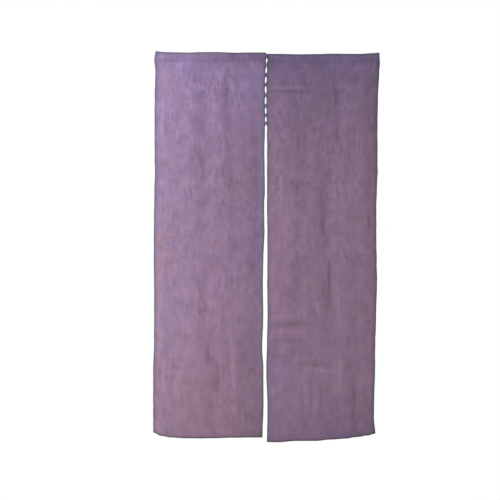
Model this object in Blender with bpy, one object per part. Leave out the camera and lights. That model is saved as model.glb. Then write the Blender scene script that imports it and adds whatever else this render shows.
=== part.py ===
"""Noren: a two-panel doorway curtain of dyed hemp cloth, laced together at the top of its slit.

Two lengths of narrow-loom cloth hang side by side. The top of each is turned back and sewn
down as a rod sleeve. A thread laced across the slit joins the two for the first quarter of
their drop. Below the lacing the panels hang free, so that a person can walk between them.

+X runs along the rod, -Y faces the room and +Z is up. The origin is the middle of the top edge.
"""

import math

import bmesh
import bpy

MM = 0.001

# Cloth and sewing, in metres.
CLOTH_THICK = 1.2 * MM  # one layer of the hand-spun hemp, slubs and all
HEM_THICK = 2.4 * MM  # where a hem is turned to the back
SIDE_HEM = 15 * MM
BOTTOM_HEM = 30 * MM
HEM_STEP = 2 * MM  # over which the cloth thickens into its hem
PIECE_GAP = 0.3 * MM  # between sewn neighbours

# Rod sleeve.
SLEEVE_DROP = 38 * MM  # top fold down to the seam
SLEEVE_HALF_DEPTH = 9 * MM  # as open as a slim rod holds it
SEAM_TAIL = 6 * MM  # the two walls sewn flat together
SEAM_FOLLOW = 0.3  # share of the top fold's unevenness that the seam repeats
LOOP_ROUND = 0.5  # how round the loop is at its top fold
LOOP_PINCH = 0.8  # and how pinched it is at its seam
LOOP_FOOT_LAYERS = 2.6  # layers of cloth between the hollow and the loop's foot, and over it
SLEEVE_LOOP_POINTS = 18
SLEEVE_STATIONS = 11

# Lacing across the slit.
LACE_THREAD = 1.7 * MM
LACE_CROSS_HEIGHT = 9 * MM
LACE_BAR_DROP = 275 * MM
LACE_BAR_DIAMETER = 2.6 * MM
LACE_BAR_SIDES = 10
LACE_CROSS_DROPS = (12, 47, 85, 123, 163, 206, 243)  # millimetres, as uneven as hand sewing

# Mesh of a panel.
PANEL_COLUMNS = 15
PANEL_ROWS = 34

# The four long edges, in millimetres from the middle, at each drop below the top edge.
EDGE_COLUMNS = ("drop", "left_outer", "left_slit", "right_slit", "right_outer")
EDGE_ROWS = (
    (0, -433, -4.2, 4.5, 441),
    (30, -437, -4.2, 4.5, 443),
    (70, -433, -4.2, 4.5, 441),
    (180, -435, -4.2, 4.6, 437),
    (300, -435, -4.3, 4.5, 436),
    (390, -434, -5.5, 5.5, 437),
    (460, -432.5, -4.0, 5.5, 437.5),
    (540, -434, -2.6, 6.2, 435),
    (590, -434.5, -5.2, 6.0, 433.5),
    (700, -435, -3.5, 8.3, 434),
    (800, -435, -7.0, 9.2, 436),
    (890, -433, -8.5, 8.7, 438),
    (1030, -432, -6.0, 11.0, 435),
    (1150, -432, -9.5, 9.0, 432.5),
    (1235, -434.5, -4.3, 7.0, 432.5),
    (1370, -434, -3.0, 12.5, 429.5),
    (1430, -433, -4.3, 12.7, 429.5),
    (1480, -433, -6.2, 11.8, 435),
)

# The top and bottom edges of each panel, in millimetres above the origin, from its slit
# edge (across 0) to its outer edge (across 1).
ENDS_COLUMNS = ("across", "left_top", "left_bottom", "right_top", "right_bottom")
ENDS_ROWS = (
    (0.00, 2.4, -1500, -2.6, -1518),
    (0.10, 2.4, -1500, -2.6, -1519),
    (0.28, 1.2, -1502, -3.5, -1513.5),
    (0.45, 3.2, -1505, -2.2, -1512),
    (0.58, 2.5, -1506, -0.4, -1506.5),
    (0.72, 0.5, -1505, -0.6, -1503),
    (0.83, 1.2, -1502, -0.6, -1497),
    (0.93, 2.2, -1496, 2.4, -1491),
    (1.00, 5.0, -1484, 4.6, -1484),
)

# Soft vertical folds. x is where a fold's middle runs at its upper and lower end, and
# proud is how far it stands towards the room (negative for a trough). Millimetres.
FOLD_COLUMNS = ("x_upper", "x_lower", "drop_from", "drop_to", "half_width", "proud")
FOLD_ROWS = {
    "left": (
        (-295, -285, 60, 640, 52, 4.5),
        (-247, -232, 70, 500, 26, -3.0),
        (-183, -173, 90, 470, 28, 3.0),
        (-135, -129, 110, 540, 22, -2.5),
        (-30, -28, 330, 1260, 26, -3.5),
        (-268, -253, 780, 1480, 48, 4.5),
        (-234, -222, 860, 1060, 20, -3.0),
        (-208, -168, 1090, 1340, 18, -3.0),
        (-107, -99, 1040, 1400, 24, 4.0),
    ),
    "right": (
        (98, 106, 500, 900, 30, 3.5),
        (161, 157, 290, 600, 24, -3.0),
        (240, 246, 520, 800, 22, -3.0),
        (306, 316, 520, 1100, 28, 3.5),
        (284, 296, 110, 360, 18, -3.5),
        (268, 266, 820, 980, 18, -3.0),
        (214, 224, 880, 1060, 20, 3.0),
        (319, 317, 1140, 1380, 24, 3.5),
        (372, 368, 1200, 1480, 22, -3.5),
        (139, 145, 1080, 1480, 36, 3.0),
    ),
}

# How each panel hangs as a whole: the slow wave that grows towards its free end, and how
# far its long edges turn away from the room.
HANG_COLUMNS = ("wave_length", "wave_start", "wave_proud", "outer_turn", "outer_band")
HANG_ROWS = {
    "left": (330, 0.10, 6.0, -5.0, 26),
    "right": (290, 0.42, 7.0, -9.0, 40),
}
FOLD_EASE = 60  # millimetres over which a fold starts and dies out
SEAM_HOLD = 90  # millimetres below the seam over which the sewn sleeve flattens the cloth
FULL_DROP = 1500
WAVE_GROWTH = 1.4  # how late in the drop the slow wave sets in

CLOTH_COLOUR = (0.250, 0.162, 0.254, 1.0)
THREAD_COLOUR = (0.095, 0.066, 0.115, 1.0)


def smooth_step(amount):
    amount = min(max(amount, 0.0), 1.0)
    return amount * amount * (3.0 - 2.0 * amount)


def look_up(rows, columns, key, value, at):
    """The value column at a place along the key column, eased between the rows."""
    k = columns.index(key)
    v = columns.index(value)
    if at <= rows[0][k]:
        return rows[0][v]
    for low, high in zip(rows, rows[1:]):
        if at <= high[k]:
            share = smooth_step((at - low[k]) / (high[k] - low[k]))
            return low[v] + (high[v] - low[v]) * share
    return rows[-1][v]


def edge_at(side, which, z):
    """x in metres of a panel's slit or outer edge at height z."""
    return MM * look_up(EDGE_ROWS, EDGE_COLUMNS, "drop", f"{side}_{which}", -z / MM)


def end_at(side, which, across):
    """z in metres of a panel's top or bottom edge."""
    return MM * look_up(ENDS_ROWS, ENDS_COLUMNS, "across", f"{side}_{which}", across)


def seam_at(side, across):
    """Height of the sleeve's seam, which is straighter than the top fold above it."""
    return -SLEEVE_DROP + SEAM_FOLLOW * end_at(side, "top", across)


def x_at(side, across, z):
    slit = edge_at(side, "slit", z)
    return slit + (edge_at(side, "outer", z) - slit) * across


def fold_proud(side, x, drop):
    """Millimetres towards the room that the soft folds add. x and drop are millimetres."""
    total = 0.0
    for row in FOLD_ROWS[side]:
        fold = dict(zip(FOLD_COLUMNS, row))
        length = fold["drop_to"] - fold["drop_from"]
        down = min(max((drop - fold["drop_from"]) / length, 0.0), 1.0)
        middle = fold["x_upper"] + (fold["x_lower"] - fold["x_upper"]) * down
        fade = smooth_step((drop - fold["drop_from"]) / FOLD_EASE + 0.5)
        fade *= smooth_step((fold["drop_to"] - drop) / FOLD_EASE + 0.5)
        off = (x - middle) / fold["half_width"]
        total += fold["proud"] * fade * math.exp(-off * off)
    return total


def surface_y(side, x_m, z_m):
    """y in metres of a panel's front face."""
    hang = dict(zip(HANG_COLUMNS, HANG_ROWS[side]))
    x = x_m / MM
    drop = -z_m / MM
    grown = (max(drop, 0.0) / FULL_DROP) ** WAVE_GROWTH
    turn = 2.0 * math.pi * (abs(x) / hang["wave_length"] + hang["wave_start"])
    proud = fold_proud(side, x, drop) + hang["wave_proud"] * grown * math.sin(turn)
    outer = edge_at(side, "outer", z_m) / MM
    from_edge = abs(outer - x) / hang["outer_band"]
    proud += hang["outer_turn"] * math.exp(-from_edge * from_edge)
    held = smooth_step((drop - SLEEVE_DROP / MM) / SEAM_HOLD)
    return -proud * held * MM


def make_material(name, colour, roughness):
    material = bpy.data.materials.new(name)
    material.use_nodes = True
    shader = material.node_tree.nodes["Principled BSDF"]
    shader.inputs["Base Color"].default_value = colour
    shader.inputs["Roughness"].default_value = roughness
    shader.inputs["Metallic"].default_value = 0.0
    return material


def make_object(name, built, material, parent):
    mesh = bpy.data.meshes.new(name)
    bmesh.ops.recalc_face_normals(built, faces=built.faces)
    built.to_mesh(mesh)
    built.free()
    mesh.shade_smooth()
    mesh.materials.append(material)
    made = bpy.data.objects.new(name, mesh)
    bpy.context.scene.collection.objects.link(made)
    made.parent = parent
    return made


def hem_stations(count, hem_share, step_share, both_ends):
    """Even stations from 0 to 1, with a pair close together at the edge of each hem."""
    low = hem_share + step_share if both_ends else 0.0
    high = 1.0 - hem_share - step_share
    inner = [low + (high - low) * i / (count - 1) for i in range(count)]
    start = [0.0, hem_share] if both_ends else []
    return start + inner + [1.0 - hem_share, 1.0]


def make_panel(side, material, parent):
    """One length of cloth from the sleeve's seam to its hem, thicker along its hems."""
    width = abs(edge_at(side, "outer", 0.0) - edge_at(side, "slit", 0.0))
    drop = -end_at(side, "bottom", 0.5) - SLEEVE_DROP
    columns = hem_stations(PANEL_COLUMNS, SIDE_HEM / width, HEM_STEP / width, True)
    rows = hem_stations(PANEL_ROWS, BOTTOM_HEM / drop, HEM_STEP / drop, False)
    built = bmesh.new()
    weights = built.verts.layers.deform.new()
    grid = []
    for down in rows:
        line = []
        for across in columns:
            top = seam_at(side, across) - PIECE_GAP
            z = top + (end_at(side, "bottom", across) - top) * down
            x = x_at(side, across, z)
            point = built.verts.new((x, surface_y(side, x, z), z))
            in_hem = across in columns[:2] + columns[-2:] or down in rows[-2:]
            point[weights][0] = 1.0 if in_hem else 0.0
            line.append(point)
        grid.append(line)
    for upper, lower in zip(grid, grid[1:]):
        for i in range(len(columns) - 1):
            corners = [upper[i], upper[i + 1], lower[i + 1], lower[i]]
            built.faces.new(corners if side == "left" else corners[::-1])
    panel = make_object(f"panel_{side}", built, material, parent)
    panel.vertex_groups.new(name="hem")
    sheet = panel.modifiers.new("cloth", "SOLIDIFY")
    sheet.thickness = HEM_THICK
    sheet.offset = 1.0 if panel.data.polygons[0].normal.y > 0 else -1.0
    sheet.vertex_group = "hem"
    sheet.thickness_vertex_group = CLOTH_THICK / HEM_THICK
    return panel


def drop_outline(height, half_depth):
    """A hanging loop's section, pinched at its foot: (y, distance below the top) around it."""
    half = SLEEVE_LOOP_POINTS // 2
    at_fullest = LOOP_ROUND / (LOOP_ROUND + LOOP_PINCH)
    fullest = at_fullest ** LOOP_ROUND * (1.0 - at_fullest) ** LOOP_PINCH
    wall = []
    for i in range(half + 1):
        share = 0.5 - 0.5 * math.cos(math.pi * i / half)
        depth = half_depth * share ** LOOP_ROUND * (1.0 - share) ** LOOP_PINCH / fullest
        wall.append((depth, height * share))
    front = [(-depth, below) for depth, below in wall[1:-1]]
    return wall + front[::-1]


def sleeve_section(height):
    """Outer and hollow outline of the sleeve, and each outer point's partner in the hollow.

    The outer outline has a sewn tail below its loop, whose points share the hollow's foot.
    """
    loop = height - SEAM_TAIL
    flat = CLOTH_THICK
    outer = drop_outline(loop, SLEEVE_HALF_DEPTH)
    foot = len(outer) // 2
    back = [(max(y, flat) if i else y, below) for i, (y, below) in enumerate(outer[:foot])]
    front = [(min(y, -flat), below) for y, below in outer[foot + 1 :]]
    tail = [(flat, loop), (flat, height), (-flat, height), (-flat, loop)]
    partners = list(range(foot)) + [foot] * len(tail) + list(range(foot + 1, len(outer)))
    hollow = drop_outline(loop - LOOP_FOOT_LAYERS * flat, SLEEVE_HALF_DEPTH - flat)
    return back + tail + front, [(y, below + flat) for y, below in hollow], partners


def make_sleeve(side, material, parent):
    """The turned-back top of one length of cloth: a flat loop, open at both ends."""
    built = bmesh.new()
    rings = []
    for station in range(SLEEVE_STATIONS):
        across = station / (SLEEVE_STATIONS - 1)
        top = end_at(side, "top", across)
        around, hollow, partners = sleeve_section(top - seam_at(side, across))
        ring = []
        for outline in (around, hollow):
            points = [(x_at(side, across, top - below), y, top - below) for y, below in outline]
            ring.append([built.verts.new(point) for point in points])
        rings.append(ring)
    for here, after in zip(rings, rings[1:]):
        for near, far in zip(here, after):
            for i in range(len(near)):
                j = (i + 1) % len(near)
                built.faces.new((near[i], near[j], far[j], far[i]))
    for outer, inner in (rings[0], rings[-1]):
        for i, partner in enumerate(partners):
            j = (i + 1) % len(outer)
            corners = [outer[i], outer[j], inner[partners[j]]]
            if partners[j] != partner:
                corners.append(inner[partner])
            built.faces.new(corners)
    return make_object(f"sleeve_{side}", built, material, parent)


def slit_middle(z):
    """Middle of the slit and its free width between the two edges, less the gaps."""
    left = edge_at("left", "slit", z)
    right = edge_at("right", "slit", z)
    return 0.5 * (left + right), right - left - 2.0 * PIECE_GAP


def lace_y(z):
    """y of the thread: in the sleeve's front wall at the top, in the cloth's hem below."""
    if z > -SLEEVE_DROP:
        return -SLEEVE_HALF_DEPTH + 0.5 * CLOTH_THICK
    left = surface_y("left", edge_at("left", "slit", z), z)
    right = surface_y("right", edge_at("right", "slit", z), z)
    return 0.5 * (left + right + HEM_THICK)


def make_cross(number, drop, material, parent):
    """Two short runs of thread that cross in the slit, from edge to edge."""
    middle, width = slit_middle(-drop)
    half_height = 0.5 * LACE_CROSS_HEIGHT
    half_width = 0.5 * width
    arm = 0.5 * LACE_THREAD
    slope = math.hypot(half_width, half_height)
    tall = arm * slope / half_width  # the arm's half height, measured straight up
    wide = arm * slope / half_height
    quarter = (
        (half_width, half_height - tall),
        (half_width, half_height),
        (half_width - wide, half_height),
        (0.0, tall),
    )
    right = [(wide, 0.0)] + list(quarter)
    left = [(-x, z) for x, z in reversed(quarter[:3])] + [(-wide, 0.0)]
    upper = right + left
    lower = [(x, -z) for x, z in reversed(upper[1:-1])]
    outline = upper + lower
    built = bmesh.new()
    front = [built.verts.new((x, -arm, z)) for x, z in outline]
    face = built.faces.new(front)
    pushed = bmesh.ops.extrude_face_region(built, geom=[face])["geom"]
    moved = [item for item in pushed if isinstance(item, bmesh.types.BMVert)]
    bmesh.ops.translate(built, verts=moved, vec=(0.0, LACE_THREAD, 0.0))
    cross = make_object(f"lace_cross_{number}", built, material, parent)
    cross.location = (middle, lace_y(-drop), -drop)
    return cross


def make_bar(material, parent):
    """The wound bar that ends the lacing and takes the pull of the open slit."""
    middle, width = slit_middle(-LACE_BAR_DROP)
    built = bmesh.new()
    bmesh.ops.create_cone(
        built,
        cap_ends=True,
        segments=LACE_BAR_SIDES,
        radius1=0.5 * LACE_BAR_DIAMETER,
        radius2=0.5 * LACE_BAR_DIAMETER,
        depth=width,
    )
    bar = make_object("lace_bar", built, material, parent)
    bar.data.set_sharp_from_angle(angle=math.radians(40))
    bar.location = (middle, lace_y(-LACE_BAR_DROP), -LACE_BAR_DROP)
    bar.rotation_euler = (0.0, math.radians(90), 0.0)
    return bar


def clear_scene():
    for old in list(bpy.data.objects):
        bpy.data.objects.remove(old, do_unlink=True)


def build():
    clear_scene()
    hanger = bpy.data.objects.new("noren", None)
    bpy.context.scene.collection.objects.link(hanger)
    cloth = make_material("hemp_cloth", CLOTH_COLOUR, 0.92)
    thread = make_material("lacing_thread", THREAD_COLOUR, 0.85)
    for side in ("left", "right"):
        make_panel(side, cloth, hanger)
        make_sleeve(side, cloth, hanger)
    for number, drop in enumerate(LACE_CROSS_DROPS, start=1):
        make_cross(number, drop * MM, thread, hanger)
    make_bar(thread, hanger)


build()
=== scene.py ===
import math

import bpy
import numpy as np
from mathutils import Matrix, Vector, noise


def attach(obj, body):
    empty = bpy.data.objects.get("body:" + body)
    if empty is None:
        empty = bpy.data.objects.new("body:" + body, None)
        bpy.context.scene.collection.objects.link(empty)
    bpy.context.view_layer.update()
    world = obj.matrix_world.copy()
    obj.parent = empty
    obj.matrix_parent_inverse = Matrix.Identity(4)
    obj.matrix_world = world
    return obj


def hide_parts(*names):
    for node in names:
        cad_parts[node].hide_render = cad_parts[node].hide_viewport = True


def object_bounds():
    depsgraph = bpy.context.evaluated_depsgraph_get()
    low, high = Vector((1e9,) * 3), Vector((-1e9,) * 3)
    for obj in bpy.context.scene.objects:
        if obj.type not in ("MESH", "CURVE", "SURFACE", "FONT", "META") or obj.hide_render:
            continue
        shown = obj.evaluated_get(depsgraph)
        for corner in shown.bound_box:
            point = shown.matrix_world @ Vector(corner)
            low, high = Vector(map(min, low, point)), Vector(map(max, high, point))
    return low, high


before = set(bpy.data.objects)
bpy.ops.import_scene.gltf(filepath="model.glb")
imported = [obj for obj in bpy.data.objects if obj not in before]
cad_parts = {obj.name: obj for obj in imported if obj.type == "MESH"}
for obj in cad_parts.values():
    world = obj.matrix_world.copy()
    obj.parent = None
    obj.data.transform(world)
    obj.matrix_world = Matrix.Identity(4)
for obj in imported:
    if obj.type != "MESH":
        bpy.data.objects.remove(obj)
cad_low, cad_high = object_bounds()

# ---------------------------------------------------------------------------------------
# The two lengths of cloth. Each is one length of hand-spun, plain-woven hemp off a narrow
# loom, dyed by hand. Its side hems are turned twice to the back, then its foot, and its top
# is turned back over itself and sewn down, as a flat sleeve that is open at both ends.

MM = 0.001
CLOTH_THICK = 0.5 * MM
CUT_FROM = {"left": 0.0, "right": 730.0}  # where each was cut from, so that no grain repeats
LAYER = 1.2 * MM  # front of the cloth to the turned layer of its hem
SIDE_HEM = 15.0  # millimetres, as in all the tables below
FOOT_HEM = 30.0
HEM_TUCK = 9.0  # turned in again inside a hem
SLEEVE_DROP = 38.0
SEAM_TAIL = 6.0  # the sleeve's two walls, sewn flat together
SEAM_FOLLOW = 0.3  # share of the top fold's unevenness that the seam repeats
SLEEVE_HALF_DEPTH = 8.7
LOOP_ROUND, LOOP_PINCH = 0.5, 0.8  # how round the loop is on top, and how pinched below
TAIL_HALF = 0.65
FULL_DROP = 1500.0
COLUMNS = 84
LOOP_ROWS = 17
LACED_ROWS, PLAIN_ROWS = 104, 202

# The four long edges, from the middle, at each drop below the top edge.
EDGE_NAMES = ("drop", "left_outer", "left_slit", "right_slit", "right_outer")
EDGES = (
    (0, -433, -4.2, 4.5, 441),
    (30, -437, -4.2, 4.5, 443),
    (70, -433, -4.2, 4.5, 441),
    (180, -435, -4.2, 4.6, 437),
    (300, -435, -4.3, 4.5, 436),
    (390, -434, -5.5, 5.5, 437),
    (460, -432.5, -4.0, 5.5, 437.5),
    (540, -434, -2.6, 6.2, 435),
    (590, -434.5, -5.2, 6.0, 433.5),
    (700, -435, -3.5, 8.3, 434),
    (800, -435, -7.0, 9.2, 436),
    (890, -433, -8.5, 8.7, 438),
    (1030, -432, -6.0, 11.0, 435),
    (1150, -432, -9.5, 9.0, 432.5),
    (1235, -434.5, -4.3, 7.0, 432.5),
    (1370, -434, -3.0, 12.5, 429.5),
    (1430, -433, -4.3, 12.7, 429.5),
    (1480, -433, -6.2, 11.8, 435),
)

# The top fold and the foot of each length, from its slit edge (0) to its outer edge (1).
END_NAMES = ("across", "left_top", "left_foot", "right_top", "right_foot")
ENDS = (
    (0.00, 2.4, -1500, -2.6, -1518),
    (0.10, 2.4, -1500, -2.6, -1519),
    (0.28, 1.2, -1502, -3.5, -1513.5),
    (0.45, 3.2, -1505, -2.2, -1512),
    (0.58, 2.5, -1506, -0.4, -1506.5),
    (0.72, 0.5, -1505, -0.6, -1503),
    (0.83, 1.2, -1502, -0.6, -1497),
    (0.93, 2.2, -1496, 2.4, -1491),
    (1.00, 5.0, -1484, 4.6, -1484),
)

# Soft vertical folds: where the middle runs at its upper and lower end, and how far it
# stands towards the room, or back from it.
FOLD_NAMES = ("x_upper", "x_lower", "drop_from", "drop_to", "half_width", "proud")
FOLDS = {
    "left": (
        (-295, -285, 60, 640, 52, 4.5),
        (-247, -232, 70, 500, 26, -3.0),
        (-183, -173, 90, 470, 28, 3.0),
        (-135, -129, 110, 540, 22, -2.5),
        (-30, -28, 330, 1260, 26, -3.5),
        (-268, -253, 780, 1480, 48, 4.5),
        (-234, -222, 860, 1060, 20, -3.0),
        (-208, -168, 1090, 1340, 18, -3.0),
        (-107, -99, 1040, 1400, 24, 4.0),
    ),
    "right": (
        (98, 106, 500, 900, 30, 3.5),
        (161, 157, 290, 600, 24, -3.0),
        (240, 246, 520, 800, 22, -3.0),
        (306, 316, 520, 1100, 28, 3.5),
        (284, 296, 110, 360, 18, -3.5),
        (268, 266, 820, 980, 18, -3.0),
        (214, 224, 880, 1060, 20, 3.0),
        (319, 317, 1140, 1380, 24, 3.5),
        (372, 368, 1200, 1480, 22, -3.5),
        (139, 145, 1080, 1480, 36, 3.0),
    ),
}
FOLD_EASE = 60
SEAM_HOLD = 90  # below the seam, over which the sewn sleeve flattens the cloth

# How each length hangs as a whole: a slow wave that grows towards its foot, and how its
# outer edge turns back.
HANG_NAMES = ("wave_length", "wave_start", "wave_proud", "outer_turn", "outer_band")
HANG = {"left": (330, 0.10, 6.0, -5.0, 26), "right": (290, 0.42, 7.0, -9.0, 40)}
WAVE_GROWTH = 1.4

# Creases, with painted shade and highlight along them. lean is in degrees from upright. proud is
# a ridge or a trough, and tone is how much lighter or darker the colour is painted there:
# painted shade along a trough, painted highlight along a ridge.
CREASE_NAMES = ("x", "drop", "lean", "length", "half_width", "proud", "tone")
CREASES = {
    "left": (
        (-278, 89, 0, 60, 5, -0.9, -0.8),
        (-149, 151, 2, 120, 6, -1.2, -0.9),
        (-234, 206, 0, 55, 8, -0.8, -0.6),
        (-297, 214, 0, 45, 7, -0.7, -0.6),
        (-199, 230, 0, 150, 9, 0.8, 0.6),
        (-392, 250, 0, 260, 14, 1.0, 0.5),
        (-343, 280, 0, 30, 7, -0.6, -0.7),
        (-242, 284, 0, 35, 8, -0.6, -0.6),
        (-347, 347, 70, 60, 7, -0.7, -0.6),
        (-389, 393, 0, 35, 7, 0.5, 0.9),
        (-249, 417, 10, 40, 9, -1.0, -0.8),
        (-135, 488, 65, 80, 7, -1.0, -0.7),
        (-150, 589, 75, 60, 8, -0.7, -0.6),
        (-169, 636, 5, 45, 7, -0.8, -0.7),
        (-357, 636, 0, 18, 6, -0.5, -0.7),
        (-51, 839, 0, 60, 8, -1.0, -0.8),
        (-250, 940, 0, 80, 6, -1.0, -0.8),
        (-160, 995, 8, 55, 5, -0.8, -0.8),
        (-338, 1096, 4, 60, 5, 0.5, 0.5),
        (-217, 1174, 0, 80, 5, -1.3, -1.2),
        (-121, 1230, 3, 280, 9, 1.5, 0.9),
        (-180, 1260, 2, 105, 5, -1.4, -1.3),
        (-392, 1268, 0, 110, 6, 0.8, 0.8),
    ),
    "right": (
        (60, 116, 90, 50, 5, -0.5, -0.7),
        (110, 132, 90, 150, 5, 0.6, 0.9),
        (311, 133, 85, 60, 6, 0.5, 0.7),
        (96, 148, 90, 170, 6, -0.9, -1.1),
        (273, 167, 0, 85, 6, -1.2, -1.1),
        (120, 172, 90, 120, 6, 0.5, 0.5),
        (281, 315, 2, 62, 6, -1.0, -1.0),
        (133, 350, 0, 110, 9, -0.8, -0.6),
        (281, 408, 80, 100, 8, 0.8, 0.7),
        (160, 420, 0, 90, 8, -0.6, -0.5),
        (220, 557, 0, 62, 6, -1.0, -0.9),
        (81, 650, 3, 110, 10, 0.8, 0.6),
        (408, 651, 0, 65, 6, -0.8, -0.8),
        (229, 659, 2, 115, 11, -1.2, -0.9),
        (266, 880, 0, 130, 4, 0.7, 0.6),
        (254, 885, 0, 135, 4.5, -1.2, -1.1),
        (242, 900, 0, 120, 4, 0.8, 0.7),
        (196, 957, 16, 90, 6, 0.9, 0.8),
        (293, 987, 4, 95, 9, 1.0, 0.8),
        (90, 1028, 90, 130, 8, 0.7, 0.8),
        (93, 1057, 91, 170, 7, -1.0, -1.1),
        (103, 1084, 90, 150, 8, 0.8, 0.9),
        (83, 1120, 89, 150, 7, -0.8, -0.9),
        (333, 1120, 5, 40, 7, -0.8, -0.8),
        (115, 1174, 0, 35, 7, -0.7, -0.7),
        (190, 1213, 88, 160, 7, -0.8, -0.8),
        (200, 1233, 86, 130, 6, 0.6, 0.8),
        (60, 1180, 84, 80, 6, -0.7, -0.8),
        (299, 1237, 0, 100, 8, 1.0, 0.9),
        (151, 1335, 0, 120, 4, -0.7, -0.6),
        (166, 1335, 0, 110, 4, 0.7, 0.7),
        (186, 1330, 0, 120, 4.5, -0.6, -0.6),
        (201, 1340, 0, 110, 4, 0.6, 0.7),
        (222, 1345, 0, 120, 5, -0.6, -0.6),
        (393, 1330, 0, 70, 7, -1.0, -0.8),
        (354, 1350, 0, 180, 6, -1.2, -0.9),
    ),
}

# Where the lacing draws the slit's edges together: its seven crossings, then its end bar.
# height is how tall a crossing is, and aside is how far its pull has moved the slit there.
LACING_NAMES = ("drop", "height", "aside")
LACING = (
    (12, 13.0, 1.4),
    (47, 17.5, 0.8),
    (85, 12.0, -1.2),
    (123, 12.5, -2.2),
    (163, 14.5, -1.6),
    (206, 12.5, -2.0),
    (243, 12.0, -1.0),
    (275, 12.5, -0.5),
)
LACE_PULL = 3.9  # each edge, at a crossing
LACE_DRAW = 1.0  # each edge, between crossings
LACE_MEET = 0.35  # short of the slit's middle, where the two edges meet and a pull stops
PULL_REACH = 0.73  # share of a crossing's height
PULL_WIDTH = 16.0  # how far in from the slit a pull is felt
LACED_DROP = 290.0  # rows lie closer together down to here, for the curves of the slit
LACED_FADE = 20.0
WAVER = 0.9  # how unevenly a hem is turned, and over what length
WAVER_LENGTH = 34.0


def ease(amount):
    amount = np.clip(amount, 0.0, 1.0)
    return amount * amount * (3.0 - 2.0 * amount)


def look_up(rows, names, key, value, at):
    """The value column at places along the key column, eased between the rows."""
    table = np.array(rows, float)
    k, v = table[:, names.index(key)], table[:, names.index(value)]
    at = np.clip(at, k[0], k[-1])
    i = np.clip(np.searchsorted(k, at, side="right") - 1, 0, len(k) - 2)
    return v[i] + (v[i + 1] - v[i]) * ease((at - k[i]) / (k[i + 1] - k[i]))


def edge_x(side, which, drop):
    """x of a slit or outer edge, in millimetres, with the small waver of a sewn hem."""
    seed = {"left_outer": 3.0, "left_slit": 11.0, "right_slit": 19.0, "right_outer": 27.0}
    name = f"{side}_{which}"
    along = np.asarray(drop, float)
    waver = [noise.noise(Vector((seed[name], d / WAVER_LENGTH, 0.0))) for d in np.ravel(along)]
    waver = WAVER * np.reshape(waver, along.shape)
    return look_up(EDGES, EDGE_NAMES, "drop", name, along) + waver


def top_z(side, across):
    return look_up(ENDS, END_NAMES, "across", f"{side}_top", across)


def foot_z(side, across):
    return look_up(ENDS, END_NAMES, "across", f"{side}_foot", across)


def seam_z(side, across):
    return -SLEEVE_DROP + SEAM_FOLLOW * top_z(side, across)


def crease_sum(side, x, drop, weight):
    """The creases' ridges and troughs, or their painted shade and highlight, summed over points."""
    total = np.zeros(np.shape(x))
    for row in CREASES[side]:
        crease = dict(zip(CREASE_NAMES, row))
        lean = math.radians(crease["lean"])
        dx, dd = x - crease["x"], drop - crease["drop"]
        along = (dx * math.sin(lean) + dd * math.cos(lean)) / (0.5 * crease["length"])
        off = (dx * math.cos(lean) - dd * math.sin(lean)) / crease["half_width"]
        bow = off + 0.5 * along * along  # no crease is quite straight
        total += crease[weight] * np.exp(-bow * bow - along**4)
    return total


def rumple(x, drop, wide, tall, seed):
    """Smooth noise about wide across and tall down, in millimetres."""
    flat = zip(np.ravel(x) / wide, np.ravel(drop) / tall)
    values = [noise.noise(Vector((u, v, seed))) for u, v in flat]
    return np.reshape(values, np.shape(x))


def proud_of(side, x, drop):
    """How far the cloth stands towards the room, in millimetres."""
    total = np.zeros(np.shape(x))
    for row in FOLDS[side]:
        fold = dict(zip(FOLD_NAMES, row))
        span = fold["drop_to"] - fold["drop_from"]
        down = np.clip((drop - fold["drop_from"]) / span, 0.0, 1.0)
        middle = fold["x_upper"] + (fold["x_lower"] - fold["x_upper"]) * down
        fade = ease((drop - fold["drop_from"]) / FOLD_EASE + 0.5)
        fade = fade * ease((fold["drop_to"] - drop) / FOLD_EASE + 0.5)
        total += fold["proud"] * fade * np.exp(-(((x - middle) / fold["half_width"]) ** 2))
    hang = dict(zip(HANG_NAMES, HANG[side]))
    grown = (np.maximum(drop, 0.0) / FULL_DROP) ** WAVE_GROWTH
    turn = 2.0 * math.pi * (np.abs(x) / hang["wave_length"] + hang["wave_start"])
    total += hang["wave_proud"] * grown * np.sin(turn)
    outer = look_up(EDGES, EDGE_NAMES, "drop", f"{side}_outer", drop)
    total += hang["outer_turn"] * np.exp(-(((outer - x) / hang["outer_band"]) ** 2))
    total += 1.3 * crease_sum(side, x, drop, "proud")
    total += 0.6 * rumple(x, drop, 42.0, 120.0, 2.0)
    total += 0.3 * rumple(x, drop, 15.0, 46.0, 5.0)
    return total * ease((drop - SLEEVE_DROP) / SEAM_HOLD)


def hem_stations(side_hem):
    """Offsets from a finished edge and layers (0 front, 1 turned to the back), raw edge first."""
    inner = [(side_hem - HEM_TUCK + 3.0 * i, 0.5) for i in range(3)]
    turn = [(side_hem - 0.3, 0.53), (side_hem, 0.75), (side_hem - 0.3, 0.97)]
    back = [(side_hem * share, 1.0) for share in (0.78, 0.5, 0.24)]
    edge = [(0.8, 1.0), (0.18, 0.85), (0.0, 0.5), (0.18, 0.15), (0.8, 0.0)]
    front = [(side_hem * share, 0.0) for share in (0.25, 0.5, 0.78, 1.0)]
    return inner + turn + back + edge + front


def loop_half(share):
    """Half depth of the sleeve's loop at a share of the way down it, 1 at its fullest."""
    fullest = LOOP_ROUND / (LOOP_ROUND + LOOP_PINCH)
    most = fullest**LOOP_ROUND * (1.0 - fullest) ** LOOP_PINCH
    return share**LOOP_ROUND * (1.0 - share) ** LOOP_PINCH / most


def column_table(width):
    """Across the cut cloth: share of the finished width, millimetres from there, and layer."""
    hem = hem_stations(SIDE_HEM)
    columns = [(0.0, offset, layer) for offset, layer in hem]
    first = (SIDE_HEM + 3.0) / width
    for i in range(COLUMNS):
        columns.append((first + (1.0 - 2.0 * first) * i / (COLUMNS - 1), 0.0, 0.0))
    columns += [(1.0, -offset, layer) for offset, layer in reversed(hem)]
    return np.array(columns).T


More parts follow.
